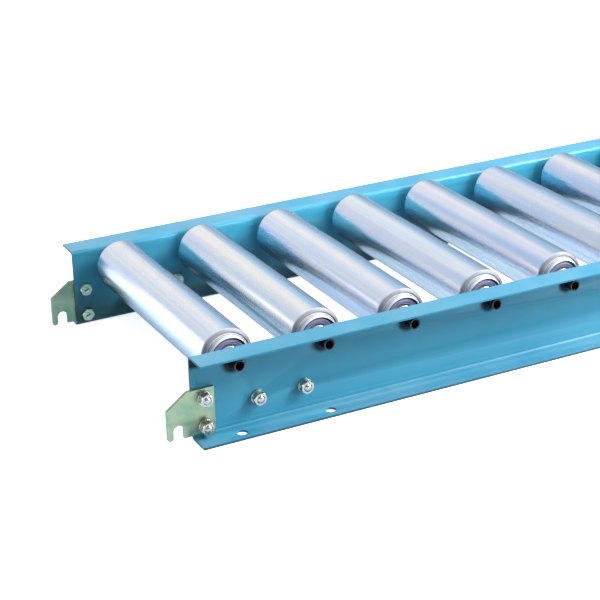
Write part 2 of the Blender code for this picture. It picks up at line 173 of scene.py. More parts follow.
# The photograph's viewpoint
CAMERA_AZIMUTH, CAMERA_ELEVATION, CAMERA_ROLL = -26.74, 22.968, -1.562
CAMERA_TARGET = (253.5 * MM, 97.1 * MM, 0.0)     # from the hook end, on the floor
CAMERA_DISTANCE = 2.037
CAMERA_LENS, CAMERA_SENSOR = 104.19, 36.0

# Colours
PAINT_DEEP, PAINT_LIGHT = (0.034, 0.300, 0.462), (0.044, 0.335, 0.500)
PAINT_FADED = (0.16, 0.42, 0.56)
PAINT_WORN = (0.26, 0.46, 0.58)
# painted highlight along the lower fold
FOLD_HIGHLIGHT_COLOUR = (0.42, 0.68, 0.80)
# dust and painted sheen, mixed into faces that look up
DUST_AND_SHEEN = (0.72, 0.74, 0.78)
# grime with painted shadow round each axle hole
GRIME_AND_SHADOW = (0.003, 0.010, 0.014)
# painted shade low on the webs' inner faces
WEB_LOW_SHADE = (0.025, 0.045, 0.038)
CORNER_SHADE = (0.006, 0.012, 0.030)
CUT_EDGE = (0.012, 0.050, 0.090)
TUBE_STREAK = (0.62, 0.66, 0.74)
TUBE_GRAIN = (0.52, 0.60, 0.72)
TUBE_CURLED = (0.29, 0.29, 0.32)
# painted shade at the tube's outline, by viewing angle
TUBE_OUTLINE_SHADE = (0.17, 0.18, 0.21)
# painted shade in the cup's groove
SEAM_SHADE = (0.16, 0.16, 0.20)
PLATE_CLOUD, PLATE_WORN = (0.46, 0.48, 0.42), (0.90, 0.91, 0.84)
SEAL_DEEP, SEAL_LIGHT = (0.270, 0.255, 0.400), (0.400, 0.380, 0.570)
# painted shade at the seal's recessed outer lip
SEAL_LIP_SHADE = (0.015, 0.016, 0.050)
BORE_DEEP, BORE_LIGHT = (0.012, 0.011, 0.012), (0.040, 0.036, 0.034)
FLOOR_DEEP, FLOOR_LIGHT = (0.90, 0.90, 0.91), (0.93, 0.93, 0.935)
FLOOR_BOUNCE = (0.09, 0.10, 0.11)


# ---------- shader nodes

def socket(tree, value, target):
    """Feed a value or another node's output into an input."""
    if isinstance(value, bpy.types.NodeSocket):
        tree.links.new(value, target)
    else:
        target.default_value = value


def node(tree, kind, inputs=None, **settings):
    made = tree.nodes.new("ShaderNode" + kind)
    for key, value in settings.items():
        setattr(made, key, value)
    for key, value in (inputs or {}).items():
        socket(tree, value, made.inputs[key])
    return made


def new_material(name):
    made = bpy.data.materials.new(name)
    made.use_nodes = True
    return made, made.node_tree, made.node_tree.nodes["Principled BSDF"]


def local_point(tree, scale=(1.0, 1.0, 1.0)):
    """The piece's own coordinates in metres, scaled. They are kept on its mesh."""
    coords = node(tree, "Attribute", attribute_name=PLACE).outputs["Vector"]
    return node(tree, "Mapping", {"Vector": coords, "Scale": scale}).outputs["Vector"]


def split(tree, vector):
    return node(tree, "SeparateXYZ", {"Vector": vector}).outputs


def arithmetic(tree, operation, *values):
    return node(tree, "Math", dict(enumerate(values)), operation=operation).outputs[0]


def multiply(tree, first, second):
    return arithmetic(tree, "MULTIPLY", first, second)


def add(tree, first, second):
    return arithmetic(tree, "ADD", first, second)


def larger(tree, first, second):
    return arithmetic(tree, "MAXIMUM", first, second)


def absolute(tree, value):
    return arithmetic(tree, "ABSOLUTE", value)


def length(tree, vector):
    return node(tree, "VectorMath", {0: vector}, operation="LENGTH").outputs["Value"]


def from_axis(tree, point):
    """Distance from the piece's own Z axis."""
    flat = node(tree, "VectorMath", {0: point, 1: (1.0, 1.0, 0.0)}, operation="MULTIPLY")
    return length(tree, flat.outputs["Vector"])


def noise(tree, vector, scale, detail=4.0, roughness=0.55):
    """Noise that differs from piece to piece."""
    shift = multiply(tree, node(tree, "ObjectInfo").outputs["Random"], PIECE_SHIFT)
    made = node(tree, "TexNoise", {"Vector": vector, "W": shift, "Scale": scale,
                                   "Detail": detail, "Roughness": roughness},
                noise_dimensions="4D")
    return made.outputs["Fac"]


def spread(tree, value, low, high, start=0.3, end=0.7):
    """Map start to end onto low to high, held beyond."""
    made = node(tree, "MapRange", {"Value": value, "From Min": start, "From Max": end,
                                   "To Min": low, "To Max": high})
    return made.outputs["Result"]


def ramp(tree, value, stops):
    made = node(tree, "ValToRGB", {"Fac": value})
    elements = made.color_ramp.elements
    elements[0].position, elements[0].color = stops[0][0], (*stops[0][1], 1.0)
    elements[1].position, elements[1].color = stops[-1][0], (*stops[-1][1], 1.0)
    for position, colour in stops[1:-1]:
        elements.new(position).color = (*colour, 1.0)
    return made.outputs["Color"]


def mix(tree, factor, first, second):
    made = node(tree, "Mix", data_type="RGBA")
    socket(tree, factor, made.inputs["Factor"])
    for key, value in (("A", first), ("B", second)):
        target = [s for s in made.inputs if s.name == key and s.type == "RGBA"][0]
        socket(tree, value if not isinstance(value, tuple) else (*value, 1.0), target)
    return [s for s in made.outputs if s.type == "RGBA"][0]


def bump(tree, height, distance, strength):
    inputs = {"Height": height, "Distance": distance, "Strength": strength}
    return node(tree, "Bump", inputs).outputs["Normal"]


def edge_mask(tree, radius):
    """1 on worn edges, 0 on flat faces: how far a rounded normal leaves the true one."""
    soft = node(tree, "Bevel", {"Radius": radius}, samples=4).outputs["Normal"]
    true = node(tree, "NewGeometry").outputs["Normal"]
    cosine = node(tree, "VectorMath", {0: soft, 1: true}, operation="DOT_PRODUCT")
    return spread(tree, cosine.outputs["Value"], 1.0, 0.0, 0.80, 0.985)


# ---------- materials

def plain_blue(tree, point, patchy, upward):
    """The paint without its marks: faded in patches, lighter on faces that look up, with dust and
    painted sheen.
    """
    colour = ramp(tree, noise(tree, point, 9.0, 3.0), [(0.30, PAINT_DEEP), (0.70, PAINT_LIGHT)])
    colour = mix(tree, spread(tree, patchy, 0.0, 0.08), colour, PAINT_FADED)
    cloud = noise(tree, point, 16.0, 4.0)
    dust_and_sheen = multiply(tree, spread(tree, upward, 0.0, 1.0, 0.6, 0.95),
                     spread(tree, cloud, 0.02, 0.14, 0.35, 0.65))
    return mix(tree, dust_and_sheen, colour, DUST_AND_SHEEN)


def axle_grime_and_shadow(tree, point, place):
    """Grime round each axle hole, with a painted shadow on its hook-end side."""
    from_hole = arithmetic(tree, "PINGPONG", add(tree, place["X"], SHADOW_SHIFT - ROLLER_X[0]),
                           ROLLER_PITCH / 2)
    around = node(tree, "CombineXYZ", {"X": from_hole, "Z": add(tree, place["Z"], -AXLE_Z)})
    reach = length(tree, around.outputs[0])
    return multiply(tree, spread(tree, reach, 1.0, 0.0, *GRIME_AND_SHADOW_FADE),
                    spread(tree, noise(tree, point, 130.0, 4.0), 0.85, 1.0))


def fold_highlight(tree, patchy, height):
    """How strong the painted highlight along the lower fold is."""
    off_line = absolute(tree, add(tree, height, -FOLD_LINE_Z))
    return multiply(tree, spread(tree, off_line, 0.55, 0.0, *FOLD_LINE_FADE),
                    spread(tree, patchy, 0.4, 1.0))


def low_web_shade(tree, across, height):
    """Painted shade low on the webs' inner faces, darker towards the bottom."""
    inside = spread(tree, across, 1.0, 0.0, WEB_INNER + 0.1 * MM, WEB_INNER + 0.5 * MM)
    return multiply(tree, inside, spread(tree, height, 0.80, 0.0, *LOW_SHADE_FADE))


def shaded_corner(tree, place, across):
    """Dark web under the top flange, at the cut hook end of the outer face."""
    web = arithmetic(tree, "COMPARE", across, WEB_OUTER, 0.2 * MM)
    start, end = (HOOK_END + reach for reach in CORNER_FADE_X)
    near_end = multiply(tree, web, spread(tree, place["X"], 1.0, 0.0, start, end))
    return multiply(tree, near_end, spread(tree, place["Z"], 0.0, 0.95, *CORNER_FADE_Z))


def cut_edges(tree, across, height, endward):
    """Dark rim of the lower flange and cut ends of the channel."""
    start, end = (CHANNEL["left"][1].y - reach for reach in RIM_FADE)
    rim = multiply(tree, spread(tree, across, 0.0, 1.0, start, end),
                   spread(tree, height, 1.0, 0.0, *RIM_FADE_Z))
    end_face = spread(tree, absolute(tree, endward), 0.0, 1.0, 0.80, 0.95)
    return multiply(tree, larger(tree, rim, end_face), 0.80)


def blue_paint():
    """Paint of the channels and stay pipes. Only the channels carry the marks."""
    made, tree, shader = new_material("blue_paint")
    point = local_point(tree)
    place = split(tree, point)
    facing = split(tree, node(tree, "NewGeometry").outputs["Normal"])
    across = absolute(tree, place["Y"])
    on_channel = spread(tree, across, 0.0, 1.0, WEB_INNER - 1.0 * MM, WEB_INNER - 0.5 * MM)
    patchy = noise(tree, point, 60.0, 6.0, 0.65)
    colour = plain_blue(tree, point, patchy, facing["Z"])
    # grime and painted shadow round each axle hole
    grime_and_shadow = multiply(tree, axle_grime_and_shadow(tree, point, place), on_channel)
    colour = mix(tree, grime_and_shadow, colour, GRIME_AND_SHADOW)
    worn = multiply(tree, edge_mask(tree, 0.7 * MM),
                    spread(tree, noise(tree, point, 70.0), 0.0, 1.0, 0.45, 0.65))
    colour = mix(tree, multiply(tree, worn, 0.45), colour, PAINT_WORN)
    # painted highlight along the lower fold, on the channels only
    lit_fold = multiply(tree, fold_highlight(tree, patchy, place["Z"]), on_channel)
    colour = mix(tree, lit_fold, colour, FOLD_HIGHLIGHT_COLOUR)
    # painted shade, darker towards the bottom of the webs' inner faces
    low_shade = multiply(tree, low_web_shade(tree, across, place["Z"]), on_channel)
    colour = mix(tree, low_shade, colour, WEB_LOW_SHADE)
    corner = shaded_corner(tree, place, across)
    colour = mix(tree, corner, colour, CORNER_SHADE)
    cut = multiply(tree, cut_edges(tree, across, place["Z"], facing["X"]), on_channel)
    colour = mix(tree, cut, colour, CUT_EDGE)
    socket(tree, colour, shader.inputs["Base Color"])
    socket(tree, spread(tree, patchy, 0.32, 0.46), shader.inputs["Roughness"])
    peel = noise(tree, point, 420.0, 2.0)
    socket(tree, bump(tree, peel, 0.05 * MM, 0.35), shader.inputs["Normal"])
    matt = larger(tree, grime_and_shadow, corner)
    socket(tree, spread(tree, matt, 0.45, 0.10, 0.0, 1.0), shader.inputs["Specular IOR Level"])
    socket(tree, spread(tree, matt, 0.10, 0.0, 0.0, 1.0), shader.inputs["Coat Weight"])
    shader.inputs["Coat Roughness"].default_value = 0.22
    return made


def tube_zinc():
    """Bright plated tube: soft streaks along it, with faint rainbow tints.

    Duller at its rolled-in ends, with painted shade at its outline."""
    made, tree, shader = new_material("tube_zinc")
    broad = noise(tree, local_point(tree, (48.0, 48.0, 0.7)), 1.0, 2.0)
    streak = noise(tree, local_point(tree, (170.0, 170.0, 1.2)), 1.0, 3.0, 0.5)
    cloud = noise(tree, local_point(tree, (26.0, 26.0, 12.0)), 1.0, 4.0)
    grain = noise(tree, local_point(tree, (420.0, 420.0, 3.0)), 1.0, 2.0)
    tint = ramp(tree, add(tree, multiply(tree, broad, 0.75), multiply(tree, cloud, 0.25)),
                [(0.36, (0.66, 0.77, 0.92)), (0.44, (0.83, 0.80, 0.94)),
                 (0.51, (0.95, 0.90, 0.86)), (0.58, (0.85, 0.84, 0.94)),
                 (0.66, (0.66, 0.80, 0.93))])
    straight = TUBE_HALF - TUBE_CURL
    from_middle = absolute(tree, split(tree, local_point(tree))["Z"])
    curled = spread(tree, from_middle, 0.0, 1.0, straight + 0.6 * MM, straight + 3.0 * MM)
    outline_shade = node(tree, "LayerWeight", {"Blend": 0.5}).outputs["Facing"]
    colour = mix(tree, spread(tree, streak, 0.0, 0.22), tint, TUBE_STREAK)
    colour = mix(tree, spread(tree, grain, 0.0, 0.16), colour, TUBE_GRAIN)
    colour = mix(tree, multiply(tree, curled, 0.90), colour, TUBE_CURLED)
    # painted shade where the tube turns away from the view
    colour = mix(tree, spread(tree, outline_shade, 0.0, 0.85, 0.64, 0.86), colour, TUBE_OUTLINE_SHADE)
    socket(tree, colour, shader.inputs["Base Color"])
    rough = add(tree, spread(tree, streak, 0.20, 0.28), spread(tree, cloud, -0.03, 0.05))
    rough = add(tree, rough, multiply(tree, curled, 0.35))
    socket(tree, rough, shader.inputs["Roughness"])
    height = add(tree, multiply(tree, streak, 0.6), multiply(tree, grain, 0.4))
    socket(tree, bump(tree, height, 0.012 * MM, 0.07), shader.inputs["Normal"])
    socket(tree, spread(tree, curled, 1.0, 0.30, 0.0, 1.0), shader.inputs["Metallic"])
    return made


def turned_zinc(name, light, dark, rough, metallic, rim=(0.93, 0.93, 0.92), seam=None):
    """Plated steel with fine rings round its own Z axis and brighter edges.

    seam is the radius of a groove darkened with painted shade."""
    made, tree, shader = new_material(name)
    point = local_point(tree)
    reach = from_axis(tree, point)
    height = split(tree, point)["Z"]
    rings = node(tree, "CombineXYZ", {"X": multiply(tree, reach, 2600.0),
                                      "Y": multiply(tree, height, 2600.0)}).outputs[0]
    groove = noise(tree, rings, 1.0, 3.0)
    cloud = noise(tree, point, 160.0, 5.0, 0.6)
    colour = mix(tree, spread(tree, cloud, 0.0, 1.0), light, dark)
    worn = edge_mask(tree, 0.4 * MM)
    colour = mix(tree, multiply(tree, worn, 0.5), colour, rim)
    if seam:
        # painted shade in the groove at the seam radius
        from_seam = absolute(tree, add(tree, reach, -seam))
        seam_shade = spread(tree, from_seam, 0.80, 0.0, 0.10 * MM, 0.42 * MM)
        colour = mix(tree, seam_shade, colour, SEAM_SHADE)
    socket(tree, colour, shader.inputs["Base Color"])
    socket(tree, spread(tree, cloud, *rough), shader.inputs["Roughness"])
    socket(tree, bump(tree, groove, 0.012 * MM, 0.5), shader.inputs["Normal"])
    shader.inputs["Metallic"].default_value = metallic
    return made


def plated(name, stops, rough, scale):
    """Zinc plate whose passivation tint drifts across the piece."""
    made, tree, shader = new_material(name)
    point = local_point(tree)
    cloud = noise(tree, point, scale * 5.0, 5.0, 0.6)
    colour = ramp(tree, noise(tree, point, scale, 3.0), stops)
    colour = mix(tree, spread(tree, cloud, 0.0, 0.30), colour, PLATE_CLOUD)
    worn = edge_mask(tree, 0.5 * MM)
    colour = mix(tree, multiply(tree, worn, 0.5), colour, PLATE_WORN)
    socket(tree, colour, shader.inputs["Base Color"])
    socket(tree, spread(tree, cloud, *rough), shader.inputs["Roughness"])
    socket(tree, bump(tree, cloud, 0.02 * MM, 0.4), shader.inputs["Normal"])
    shader.inputs["Metallic"].default_value = 1.0
    return made


def seal_plastic():
    """Violet-grey plastic, with painted shade at its recessed outer lip."""
    made, tree, shader = new_material("bearing_seal")
    point = local_point(tree)
    cloud = noise(tree, point, 300.0, 5.0, 0.6)
    colour = ramp(tree, cloud, [(0.3, SEAL_DEEP), (0.7, SEAL_LIGHT)])
    lip_shade = spread(tree, from_axis(tree, point), 0.0, 0.9, *SEAL_LIP)
    socket(tree, mix(tree, lip_shade, colour, SEAL_LIP_SHADE), shader.inputs["Base Color"])
    socket(tree, spread(tree, cloud, 0.28, 0.46), shader.inputs["Roughness"])
    fine = noise(tree, point, 2600.0, 2.0)
    socket(tree, bump(tree, fine, 0.03 * MM, 0.4), shader.inputs["Normal"])
    return made


def dark_bore():
    """Oxidised, oily inside of a pipe."""
    made, tree, shader = new_material("dark_bore")
    cloud = noise(tree, local_point(tree), 400.0, 5.0)
    colour = ramp(tree, cloud, [(0.3, BORE_DEEP), (0.7, BORE_LIGHT)])
    socket(tree, colour, shader.inputs["Base Color"])
    socket(tree, spread(tree, cloud, 0.45, 0.75), shader.inputs["Roughness"])
    shader.inputs["Metallic"].default_value = 0.6
    return made


# ---------- mesh tools

def arc(centre, radius, start, end, steps):
    """Points on a circle from one angle to another, in degrees."""
    points = []
    for k in range(steps + 1):
        angle = math.radians(start + (end - start) * k / steps)
        points.append((centre[0] + radius * math.cos(angle), centre[1] + radius * math.sin(angle)))
    return points


def fillet(points, radius, steps):
    """Round the corners of a closed 2D outline; a point may give its own radius third.

    No corner takes more than half of a side."""
    out = []
    for i, point in enumerate(points):
        here = Vector(point[:2])
        bend = point[2] if len(point) > 2 else radius
        if bend <= 0:
            out.append(here)
            continue
        back = Vector(points[i - 1][:2]) - here
        ahead = Vector(points[(i + 1) % len(points)][:2]) - here
        half = back.angle(ahead) / 2
        reach = min(bend / math.tan(half), 0.49 * back.length, 0.49 * ahead.length)
        bend = reach * math.tan(half)
        inward = (back.normalized() + ahead.normalized()).normalized()
        centre = here + inward * (bend / math.sin(half))
        start = here + back.normalized() * reach - centre
        end = here + ahead.normalized() * reach - centre
        turn = start.angle_signed(end)
        for k in range(steps + 1):
            out.append(centre + Matrix.Rotation(-turn * k / steps, 2) @ start)
    return [(p.x, p.y) for p in out]


def mesh_of(form, name):
    mesh = bpy.data.meshes.new(name)
    form.to_mesh(mesh)
    form.free()
    return mesh


def finish_mesh(form, name, material, sharp):
    """Mesh of the form, smooth except at edges sharper than so many degrees."""
    bmesh.ops.recalc_face_normals(form, faces=form.faces)
    mesh = mesh_of(form, name)
    mesh.shade_smooth()
    mesh.set_sharp_from_angle(angle=math.radians(sharp))
    mesh.materials.append(material)
    return mesh


def skin(form, rows):
    """Quads between neighbouring rows; each row closes on itself."""
    for first, second in zip(rows, rows[1:]):
        for i, here in enumerate(first):
            j = (i + 1) % len(first)
            form.faces.new((here, first[j], second[j], second[i]))


def sweep(name, rings, material, sharp, closed=True):
    """Skin through rings of 3D points, closed on itself or capped."""
    form = bmesh.new()
    rows = [[form.verts.new(p) for p in ring] for ring in rings]
    skin(form, rows + rows[:1] if closed else rows)
    if not closed:
        form.faces.new(rows[0])
        form.faces.new(rows[-1])
    return finish_mesh(form, name, material, sharp)


def lathe(name, profile, material, steps, sharp):
    """Closed profile of (radius, height) turned about Z."""
    rings = []
    for k in range(steps):
        angle = 2 * math.pi * k / steps
        rings.append([(r * math.cos(angle), r * math.sin(angle), z) for r, z in profile])
    return sweep(name, rings, material, sharp)


def solid_lathe(name, rows, material, steps, sharp):
    """Rows (radius function of angle, height) stacked along Z, closed by end caps."""
    form = bmesh.new()
    made = []
    for reach, height in rows:
        row = []
        for k in range(steps):
            angle = 2 * math.pi * k / steps
            r, z = reach(angle), height(angle) if callable(height) else height
            row.append(form.verts.new((r * math.cos(angle), r * math.sin(angle), z)))
        made.append(row)
    skin(form, made)
    form.faces.new(made[0])
    form.faces.new(made[-1])
    return finish_mesh(form, name, material, sharp)


def hex_reach(flats):
    """Radius of a hexagon at each angle."""
    def reach(angle):
        return flats / 2 / math.cos((angle + math.pi / 6) % (math.pi / 3) - math.pi / 6)
    return reach


def round_reach(radius):
    return lambda angle: radius


def hex_rows(flats, low, high, chamfer_low=True):
    """Hexagon whose corners are cut by a 30 degree cone at its faces."""
    reach = hex_reach(flats)
    face = flats / 2 * CHAMFER_SHARE
    slope = math.tan(math.radians(30))

    def drop(angle):
        return max(reach(angle) - face, 0.0) * slope

    rows = []
    if chamfer_low:
        rows += [(round_reach(face), low), (reach, lambda a: low + drop(a))]
    else:
        rows += [(reach, low)]
    return rows + [(reach, lambda a: high - drop(a)), (round_reach(face), high)]


def thread_reach(radius, pitch, height, end):
    """Radius of a screw thread at one height, chamfered towards its end."""
    depth = THREAD_DEPTH * pitch

    def reach(angle):
        phase = (height / pitch - angle / (2 * math.pi)) % 1.0
        # 1.25 leaves a flat root over a fifth of the pitch
        cut = depth * min(1.0, abs(2 * phase - 1) * 1.25)
        lead = radius - THREAD_LEAD * pitch + max(end - height, 0.0)
        return min(radius - cut, lead)
    return reach


def threaded_rows(radius, pitch, start, end):
    count = max(4, round((end - start) / (pitch / 8)))
    heights = [start + (end - start) * k / count for k in range(count + 1)]
    return [(thread_reach(radius, pitch, z, end), z) for z in heights]


def evaluated(item):
    """The object's mesh with its modifiers applied; the object is removed."""
    bpy.context.view_layer.update()
    depsgraph = bpy.context.evaluated_depsgraph_get()
    mesh = bpy.data.meshes.new_from_object(item.evaluated_get(depsgraph))
    bpy.data.objects.remove(item, do_unlink=True)
    return mesh


def helper(name, data, matrix=None):
    """New object around a mesh, curve, light or camera."""
    item = bpy.data.objects.new(name, data)
    bpy.context.scene.collection.objects.link(item)
    if matrix is not None:
        item.matrix_world = matrix
    return item


def cut_mesh(mesh, cutters, sharp, edge=0.0):
    """The mesh with the cutters taken out and its edges rounded."""
    item = helper("cut", mesh)
    for cutter in cutters:
        step = item.modifiers.new("cut", "BOOLEAN")
        step.operation = "DIFFERENCE"
        step.solver = "EXACT"
        step.object = cutter
    weld = item.modifiers.new("weld", "WELD")
    weld.merge_threshold = WELD_REACH
    if edge:
        bevel = item.modifiers.new("edge", "BEVEL")
        bevel.width = edge
        bevel.segments = 2
        bevel.limit_method = "ANGLE"
        bevel.angle_limit = math.radians(50)
    made = evaluated(item)
    for cutter in cutters:
        bpy.data.objects.remove(cutter, do_unlink=True)
    made.shade_smooth()
    made.set_sharp_from_angle(angle=math.radians(sharp))
    return made


def cylinder_cutter(radius, depth, matrix):
    form = bmesh.new()
    bmesh.ops.create_cone(form, cap_ends=True, segments=HOLE_STEPS, radius1=radius,
                          radius2=radius, depth=depth)
    return helper("hole", mesh_of(form, "hole"), matrix)


# ---------- places

def middle(name):
    low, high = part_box(name)
    return (low + high) / 2


def size(name):
    low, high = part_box(name)
    return high - low


def along_y(x, y, z, side=1, spin=0.0):
    """Matrix that turns local +Z to +Y on the left, -Y on the right."""
    turn = Matrix.Rotation(-side * math.pi / 2, 4, "X")
    return Matrix.Translation((x, y, z)) @ turn @ Matrix.Rotation(spin, 4, "Z")


def keep_places(mesh):
    """Store every point's place on the mesh for the materials."""
    if PLACE not in mesh.attributes:
        places = np.zeros(len(mesh.vertices) * 3, np.float32)
        mesh.vertices.foreach_get("co", places)
        mesh.attributes.new(PLACE, "FLOAT_VECTOR", "POINT").data.foreach_set("vector", places)


def piece(name, mesh, body, matrix=None, stands_for=()):
    """Visible piece that rides on a body, and may stand for nodes of the frame."""
    keep_places(mesh)
    item = helper(name, mesh, matrix)
    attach(item, body)
    if stands_for:
        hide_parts(*stands_for)


CHANNEL = {label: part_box(f"side_channel_{label}") for label, _ in SIDES}
HOOK_END = CHANNEL["left"][0].x
STUD_END = CHANNEL["left"][1].x
WEB_INNER = CHANNEL["left"][0].y
WEB_OUTER = WEB_INNER + SHEET
CHANNEL_TOP = CHANNEL["left"][1].z
ROLLER_X = [middle(f"roller_tube_{tag}").x for tag in ROLLERS]
ROLLER_PITCH = ROLLER_X[1] - ROLLER_X[0]
AXLE_Z = middle("axle_01").z
TIE_Z = middle("tie_rod_1").z
TIE_X = [middle(f"tie_rod_{end}").x for end in ENDS]
STAND_X = [middle(f"stand_bolt_left_{end}").x for end in ENDS]
STUD_X = middle("coupling_stud_left").x
STUD_Z = middle("coupling_stud_left").z
HOOK_BOLTS = [(level, middle(f"hook_bolt_left_{level}")) for level in ("upper", "lower")]
TUBE_HALF = size("roller_tube_01").y / 2
ROLLER_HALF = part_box("bearing_left_01")[1].y
TUBE_RADIUS = size("roller_tube_01").z / 2


# ---------- finishes

PAINT = blue_paint()
TUBE = tube_zinc()
CUP = turned_zinc("bearing_zinc", (0.93, 0.94, 0.93), (0.84, 0.85, 0.87), rough=(0.34, 0.48),
                  metallic=0.10, seam=CUP_SEAM_RADIUS)
RACE = turned_zinc("race_steel", (0.88, 0.88, 0.90), (0.72, 0.73, 0.76), rough=(0.22, 0.36),
                   metallic=0.7)
AXLE = turned_zinc("axle_steel", (0.075, 0.072, 0.072), (0.040, 0.038, 0.040),
                   rough=(0.34, 0.52), metallic=1.0, rim=(0.80, 0.77, 0.70))
BORE = dark_bore()
SEAL = seal_plastic()
CHROMATE = plated("hook_chromate", [(0.30, (0.15, 0.31, 0.21)), (0.44, (0.21, 0.35, 0.22)),
                                    (0.56, (0.32, 0.38, 0.23)), (0.70, (0.19, 0.34, 0.26))],
                  rough=(0.30, 0.46), scale=38.0)
HEADS = plated("bolt_head_zinc", [(0.30, (0.42, 0.56, 0.38)), (0.50, (0.56, 0.63, 0.46)),
                                  (0.70, (0.47, 0.57, 0.44))], rough=(0.24, 0.42), scale=160.0)
NUTS = plated("nut_zinc", [(0.30, (0.42, 0.42, 0.43)), (0.50, (0.53, 0.49, 0.45)),
                           (0.70, (0.39, 0.43, 0.42))], rough=(0.18, 0.38), scale=200.0)


# ---------- side channels

def channel_section(side):
    """Cross-section of the folded sheet in (y, z), with rounded sheet edges."""
    flange = CHANNEL["left"][1].y
    inner_fold = FOLD_RADIUS - SHEET
    outline = [(flange, CHANNEL_TOP, SHEET_EDGE), (WEB_INNER, CHANNEL_TOP, FOLD_RADIUS),
               (WEB_INNER, 0.0, FOLD_RADIUS), (flange, 0.0, SHEET_EDGE),
               (flange, SHEET, SHEET_EDGE), (WEB_OUTER, SHEET, inner_fold),
               (WEB_OUTER, CHANNEL_TOP - SHEET, inner_fold),
               (flange, CHANNEL_TOP - SHEET, SHEET_EDGE)]
    return [(side * y, z) for y, z in fillet(outline, SHEET_EDGE, FOLD_STEPS)]


def channel_cutters(side):
    """A cylinder for each hole in the web and in the lower flange."""
    web = side * (WEB_INNER + SHEET / 2)
    holes = [(x, AXLE_Z, AXLE_HOLE_RADIUS) for x in ROLLER_X]
    holes += [(x, TIE_Z, M8_HOLE_RADIUS) for x in TIE_X + STAND_X]
    holes += [(place.x, place.z, M8_HOLE_RADIUS) for _, place in HOOK_BOLTS]
    holes.append((STUD_X, STUD_Z, M10_HOLE_RADIUS))
    cutters = [cylinder_cutter(r, 4 * SHEET, along_y(x, web, z)) for x, z, r in holes]
    for inset in FLANGE_HOLE_INSETS:
        for x in (HOOK_END + inset, STUD_END - inset):
            place = Matrix.Translation((x, side * (WEB_INNER + FLANGE_HOLE_FROM_WEB), SHEET / 2))
            cutters.append(cylinder_cutter(FLANGE_HOLE_RADIUS, 4 * SHEET, place))
    return cutters


def side_channel(label, side):
    section = channel_section(side)
    rings = [[(x, y, z) for y, z in section] for x in (HOOK_END, STUD_END)]
    solid = sweep(f"side_channel_{label}", rings, PAINT, sharp=32, closed=False)
    mesh = cut_mesh(solid, channel_cutters(side), sharp=32, edge=SHEET_EDGE)
    piece(f"side_channel_{label}_sheet", mesh, "frame",
          stands_for=[f"side_channel_{label}"])


# ---------- hook plates

def hook_outline(low, high):
    """Plate in (x, z) with a chamfered corner and a slot open downward."""
    slot_x = low.x + HOOK_SLOT_INSET
    slot_z = low.z + HOOK_SLOT_RISE
    inner = slot_x - HOOK_SLOT_RADIUS
    corners = [(high.x, high.z), (low.x + HOOK_CHAMFER[0], high.z, HOOK_CHAMFER_CORNER),
               (low.x, high.z - HOOK_CHAMFER[1], HOOK_CHAMFER_CORNER),
               (low.x, low.z, HOOK_TIP_RADIUS), (inner, low.z, HOOK_TIP_RADIUS)]
    corners += [(x, z, 0.0) for x, z in arc((slot_x, slot_z), HOOK_SLOT_RADIUS, 180, 0, 24)]
    corners += [(slot_x + HOOK_SLOT_RADIUS, low.z), (high.x, low.z)]
    return fillet(corners, HOOK_CORNER, 6)


def plate_mesh(outline, holes, thickness, edge, material):
    """Flat plate in local XY with rounded rims, also round its holes."""
    curve = bpy.data.curves.new("plate", "CURVE")
    curve.dimensions = "2D"
    curve.fill_mode = "BOTH"
    curve.extrude = thickness / 2 - edge
    curve.bevel_depth = edge
    curve.bevel_resolution = 2
    curve.offset = -edge
    loops = [outline]
    for x, z, radius in holes:
        loops.append(arc((x, z), radius, 0, 360, HOLE_STEPS)[:-1])
    for loop in loops:
        spline = curve.splines.new("POLY")
        spline.points.add(len(loop) - 1)
        spline.use_cyclic_u = True
        for point, (x, y) in zip(spline.points, loop):
            point.co = (x, y, 0.0, 1.0)
    mesh = evaluated(helper("plate", curve))
    form = bmesh.new()
    form.from_mesh(mesh)
    bmesh.ops.remove_doubles(form, verts=form.verts, dist=WELD_REACH)
    return finish_mesh(form, "plate", material, sharp=40)


def hook_plate(label):
    name = f"hook_plate_{label}"
    low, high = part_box(name)
    holes = [(place.x, place.z, M8_HOLE_RADIUS) for _, place in HOOK_BOLTS]
    mesh = plate_mesh(hook_outline(low, high), holes, high.y - low.y, HOOK_EDGE, CHROMATE)
    upright = Matrix.Rotation(math.pi / 2, 4, "X")
    stand = Matrix.Translation((0.0, (low.y + high.y) / 2, 0.0)) @ upright
    piece(name + "_steel", mesh, "frame", stand, [name])


# ---------- rollers

def tube_mesh():
    """Tube whose ends are rolled inward over the bearing cups."""
    straight = TUBE_HALF - TUBE_CURL
    centre = TUBE_RADIUS - TUBE_CURL
    outer = arc((centre, straight), TUBE_CURL, 0, TUBE_CURL_ANGLE, 12)
    inner = arc((centre, straight), TUBE_CURL - TUBE_WALL, TUBE_CURL_ANGLE, 0, 8)
    upper = outer + inner
    profile = upper + [(r, -z) for r, z in reversed(upper)]
    return lathe("roller_tube", profile, TUBE, steps=TUBE_STEPS, sharp=50)


def cup_mesh():
    """Pressed cup: a bead at the tube's mouth, a fine groove, then a cone to a deep mouth.

    The outline is radius, height from the bearing's face, and rounding, in mm."""
    outline = [(24.2, -8.6, 0.4), (24.1, -7.4, 0.6), (23.2, -6.0, 0.6), (22.6, -7.2, 0.2),
               (21.7, -6.6, 0.2), (22.0, -4.7, 0.4), (21.7, -1.6, 0.8), (21.0, -0.5, 0.5),
               (20.5, -1.1, 0.4), (20.4, -12.0, 0.3), (18.6, -12.0, 0.3), (18.6, -12.8, 0.3),
               (25.0, -12.8, 0.4), (25.0, -20.0, 0.3), (26.6, -20.0, 0.3), (26.6, -12.6, 1.2)]
    profile = [(r * MM, z * MM, f * MM) for r, z, f in outline]
    return lathe("bearing_cup", fillet(profile, TURNED_EDGE, 4), CUP, steps=112, sharp=28)


